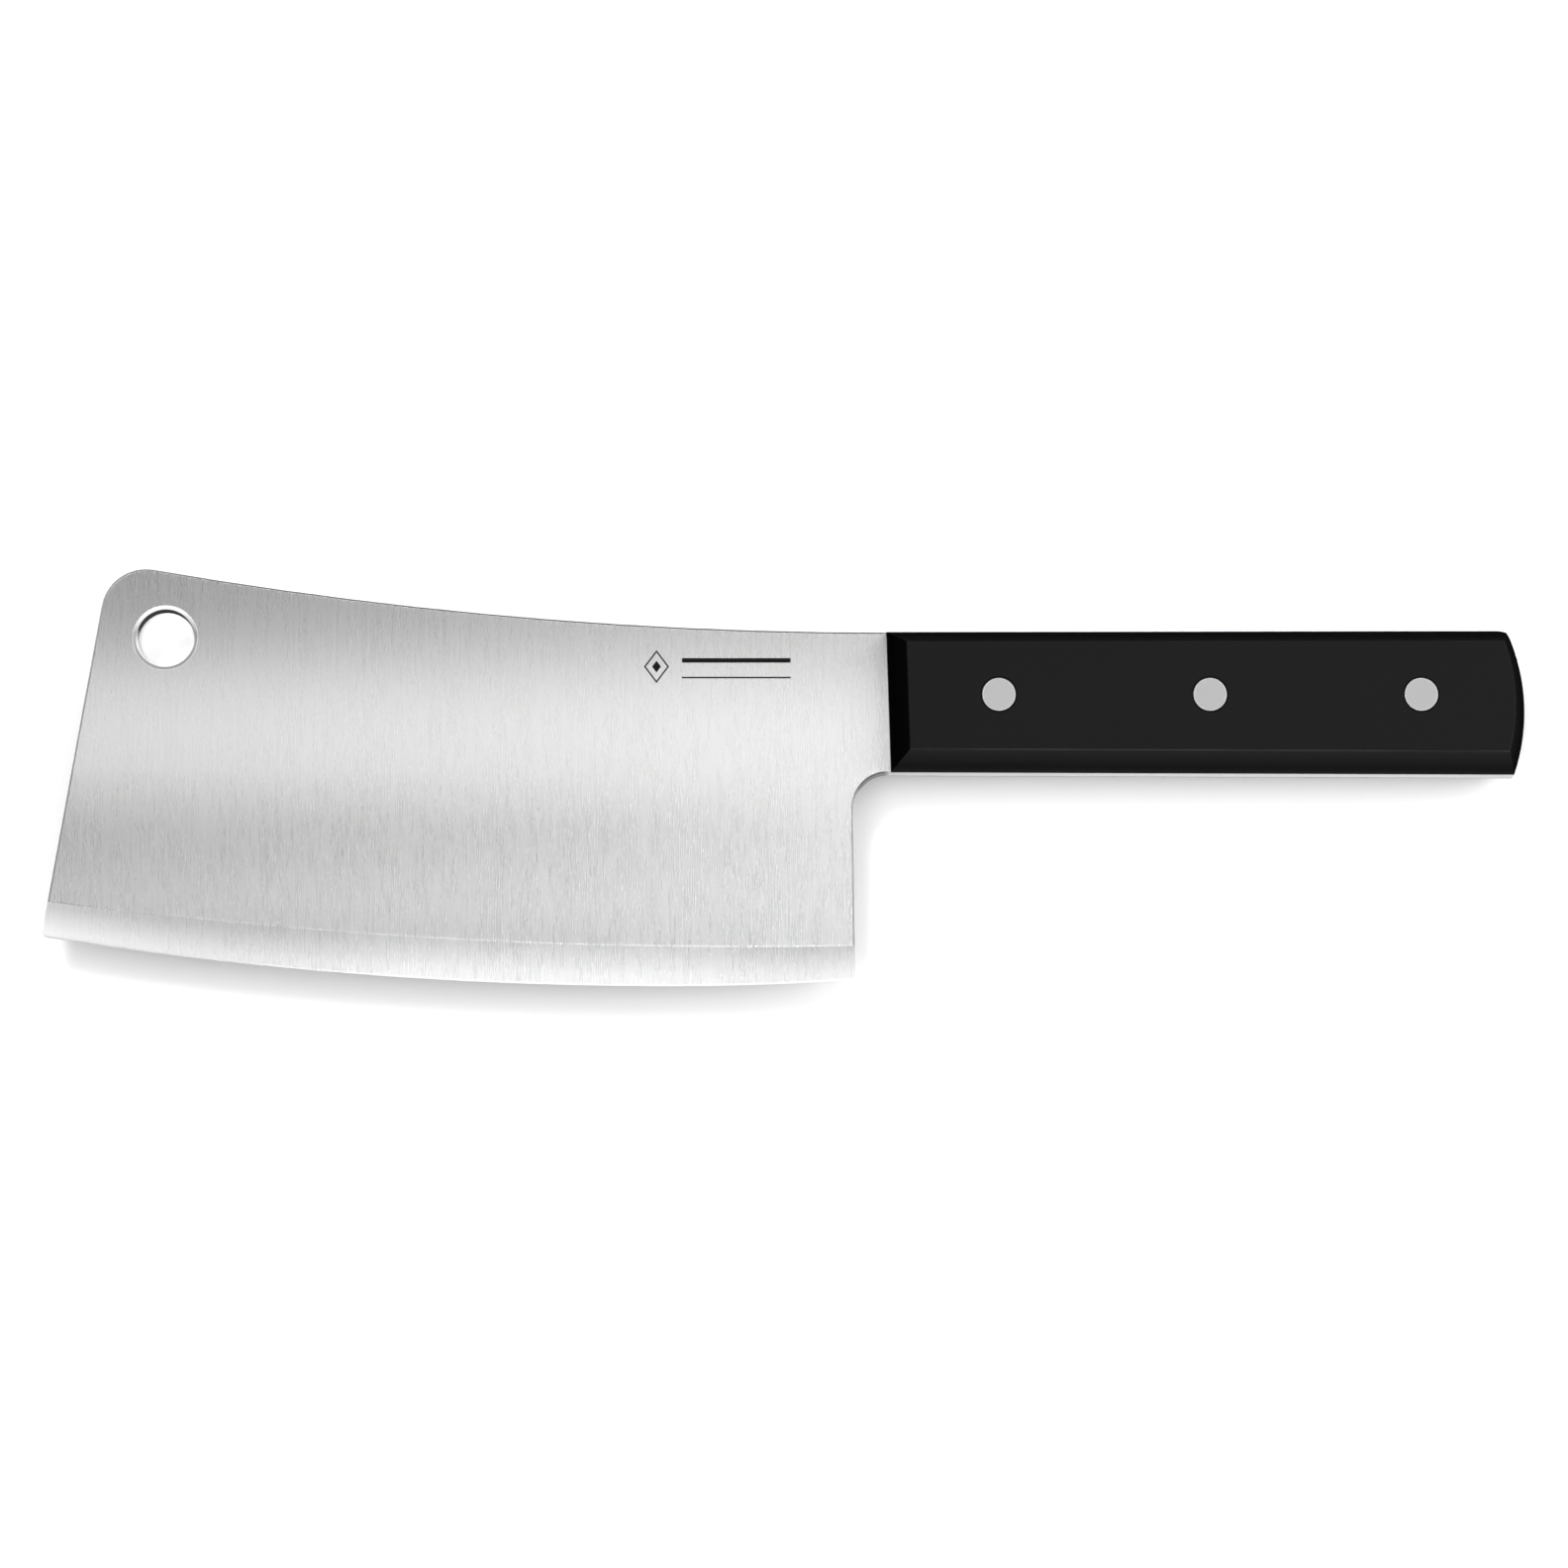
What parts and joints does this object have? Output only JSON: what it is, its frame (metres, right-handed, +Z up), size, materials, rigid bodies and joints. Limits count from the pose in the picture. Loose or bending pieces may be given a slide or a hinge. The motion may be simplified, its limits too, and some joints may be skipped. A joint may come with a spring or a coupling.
{
  "type": "meat cleaver",
  "caption": "Butcher's cleaver with a deep rectangular blade, bowed bevelled edge, hanging hole, full tang and bevelled handle scales held by compression rivets.",
  "frame": {"origin": "bottom centre of the whole box, on the surface that the cleaver lies on", "axes": "+X from the blade's front edge towards the handle's butt, +Y towards the spine, +Z up out of the blade's face"},
  "size_m": [0.2796, 0.0796, 0.02],
  "materials": {
    "blade_steel": "fine vertical satin brushing on the cheeks, finer polish on the wide ground bevel",
    "scale_plastic": "fine-grained matt black moulded plastic",
    "rivet_steel": "flush satin heads with a bright broken rim"
  },
  "bodies": {
    "root": {"blade_and_tang": "blade_steel", "upper_scale": "scale_plastic", "lower_scale": "scale_plastic", "front_rivet_post": "rivet_steel", "front_rivet_sleeve": "rivet_steel", "middle_rivet_post": "rivet_steel", "middle_rivet_sleeve": "rivet_steel", "rear_rivet_post": "rivet_steel", "rear_rivet_sleeve": "rivet_steel"}
  },
  "joints": []
}
